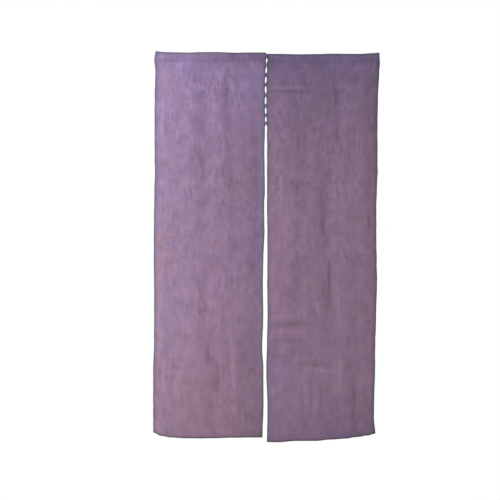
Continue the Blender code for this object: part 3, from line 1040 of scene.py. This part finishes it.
def side_runs():
    over = 0.5 * CLOTH_THICK + 1.7 * LACE_PLY
    levels = [(drop, height) for drop, height, _ in LACING[:-1]] + [(LACING[-1][0], 4.0)]
    tubes = []
    for (drop, height), (next_drop, next_height) in zip(levels, levels[1:]):
        start, end = drop + 0.5 * height - 1.0, next_drop - 0.5 * next_height + 1.0
        downs = np.linspace(start, end, round((end - start) / RUN_STEP))
        for cloth in (left_cloth, right_cloth):
            front = [on_front(cloth, RUN_INWARD, -down * MM) - (0.0, over, 0.0) for down in downs]
            sunk = [at + (0.0, 2.0 * over, 0.0) for at in (front[0], front[-1])]
            line = np.array([sunk[0], *front, sunk[1]])
            tubes += two_ply_run(line)
    return thread_piece("lacing_side_runs", tubes, lacing_thread)


def two_ply_run(line):
    """Two plies twisted round each other along an open line."""
    steps = np.linalg.norm(np.diff(line, axis=0), axis=1)
    lengths = np.concatenate([[0.0], np.cumsum(steps)])
    places = np.linspace(0.0, lengths[-1], int(lengths[-1] / LACE_STEP))
    line = np.stack([np.interp(places, lengths, line[:, i]) for i in range(3)], -1)
    phase = 2.0 * math.pi * places / LACE_TWIST
    plies = []
    for start in (0.0, math.pi):
        swing = np.stack([np.cos(phase + start), np.sin(phase + start), 0.0 * phase], -1)
        plies.append(tube(line + 0.92 * LACE_PLY * swing, LACE_PLY, 6))
    return plies


side_runs()

# ---------------------------------------------------------------------------------------
# The bar that ends the lacing: three runs of the same thread from edge to edge, bound
# together by close turns of it over the slit.

BAR_DROP = LACING[-1][0]
BAR_RUNS = 3
BAR_RISE = 0.95  # from one run to the next
BAR_BOUND = 4.2  # width of the bound middle
BAR_TURNS = 6
TURN_POINTS = 20


def lace_bar():
    over = 0.5 * CLOTH_THICK + 1.6 * LACE_PLY
    behind = LAYER + 0.5 * CLOTH_THICK + 1.6 * LACE_PLY
    tubes = []
    for run in range(BAR_RUNS):
        z = (-BAR_DROP + BAR_RISE * (run - 1)) * MM
        left = on_front(left_cloth, STITCH_IN - 0.7 * (run % 2), z)
        right = on_front(right_cloth, STITCH_IN - 0.7 * (run % 2), z)
        middle = 0.5 * (left + right) + (0.0, 0.5 * LAYER, 0.0)
        points = (
            left + (0.0, behind, 0.0),
            left + (0.0, 0.4 * behind, 0.0),
            left - (-0.4 * MM, over, 0.0),
            0.7 * middle + 0.3 * left - (0.0, 0.5 * over, 0.0),
            middle - (0.0, 0.4 * MM, 0.0),
            0.7 * middle + 0.3 * right - (0.0, 0.5 * over, 0.0),
            right - (0.4 * MM, over, 0.0),
            right + (0.0, 0.4 * behind, 0.0),
            right + (0.0, behind, 0.0),
            0.7 * middle + 0.3 * right + (0.0, 1.2 * MM, 0.0),
            middle + (0.0, 0.4 * MM, 0.0),
            0.7 * middle + 0.3 * left + (0.0, 1.2 * MM, 0.0),
        )
        tubes += two_ply(rounded_loop(points, LACE_STEP))
    edges = [on_front(cloth, 0.8, -BAR_DROP * MM) for cloth in (left_cloth, right_cloth)]
    middle = 0.5 * (edges[0] + edges[1])
    middle[1] += 0.5 * LAYER
    count = BAR_TURNS * TURN_POINTS
    turn = 2.0 * math.pi * np.arange(count + 1) / TURN_POINTS
    wound = np.stack(
        [
            middle[0] + BAR_BOUND * MM * (np.arange(count + 1) / count - 0.5),
            middle[1] + 1.35 * MM * np.cos(turn),
            middle[2] + 1.75 * MM * np.sin(turn),
        ],
        -1,
    )
    tubes.append(tube(wound, 1.1 * LACE_PLY, 6))
    piece = thread_piece("lacing_bar", tubes, lacing_thread)
    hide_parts("lace_bar")
    return piece


lace_bar()

# ---------------------------------------------------------------------------------------
# The studio: a plain pale floor below the hanging cloth, one wide soft lamp high on the
# left and white surroundings. The camera looks straight on, from well back.

CAMERA_BACK = 8.0
SEEN_WIDTH = 1.952  # metres across the frame where the cloth hangs
CAMERA_AIM = Vector((-0.0593, 0.0, -0.7687))
CAMERA_ROLL = -0.35
FLOOR_SIZE = 3.0
FLOOR_Z = cad_low.z - 0.45

scene = bpy.context.scene
scene.view_settings.view_transform = "Standard"

camera_data = bpy.data.cameras.new("camera")
camera_data.lens = camera_data.sensor_width * CAMERA_BACK / SEEN_WIDTH
camera_data.clip_end = 100.0
camera = bpy.data.objects.new("camera", camera_data)
camera.location = CAMERA_AIM + Vector((0.0, -CAMERA_BACK, 0.0))
camera.rotation_euler = (math.radians(90.0), math.radians(CAMERA_ROLL), 0.0)
scene.collection.objects.link(camera)
scene.camera = camera

ROOM_LIGHT = 0.42  # what the white surroundings give the cloth, as a share of how they look

LAMPS = (  # name, place, power, size; the back one is for views from behind
    ("soft_lamp", (-2.6, -3.0, -0.1), 150.0, 1.6),
    ("back_lamp", (2.6, 3.2, 0.3), 85.0, 2.0),
)
for name, place, power, size in LAMPS:
    lamp_data = bpy.data.lights.new(name, "AREA")
    lamp_data.shape = "DISK"
    lamp_data.size = size
    lamp_data.energy = power
    lamp = bpy.data.objects.new(name, lamp_data)
    lamp.location = place
    facing = Vector((0.0, 0.0, 0.5 * cad_low.z)) - lamp.location
    lamp.rotation_euler = facing.to_track_quat("-Z", "Y").to_euler()
    scene.collection.objects.link(lamp)

world = bpy.data.worlds.new("white_room")
world.use_nodes = True
world.node_tree.nodes.clear()
room = Socket(world.node_tree)
seen = room.node("ShaderNodeLightPath", {}, {}, "Is Camera Ray")
brightness = ROOM_LIGHT + seen * (1.0 - ROOM_LIGHT)
white = room.node("ShaderNodeBackground", {}, {"Color": (1.0, 1.0, 1.0, 1.0), "Strength": brightness})
room.node("ShaderNodeOutputWorld", {}, {"Surface": white})
scene.world = world

floor_material = bpy.data.materials.new("pale_floor")
floor_material.use_nodes = True
floor_shader = floor_material.node_tree.nodes["Principled BSDF"]
floor_shader.inputs["Base Color"].default_value = (0.86, 0.86, 0.86, 1.0)
floor_shader.inputs["Roughness"].default_value = 0.9
half = 0.5 * FLOOR_SIZE
floor_points = np.array([[(x, y, FLOOR_Z) for x in (-half, half)] for y in (half, -half)])
floor = grid_object("floor", floor_points, floor_material)
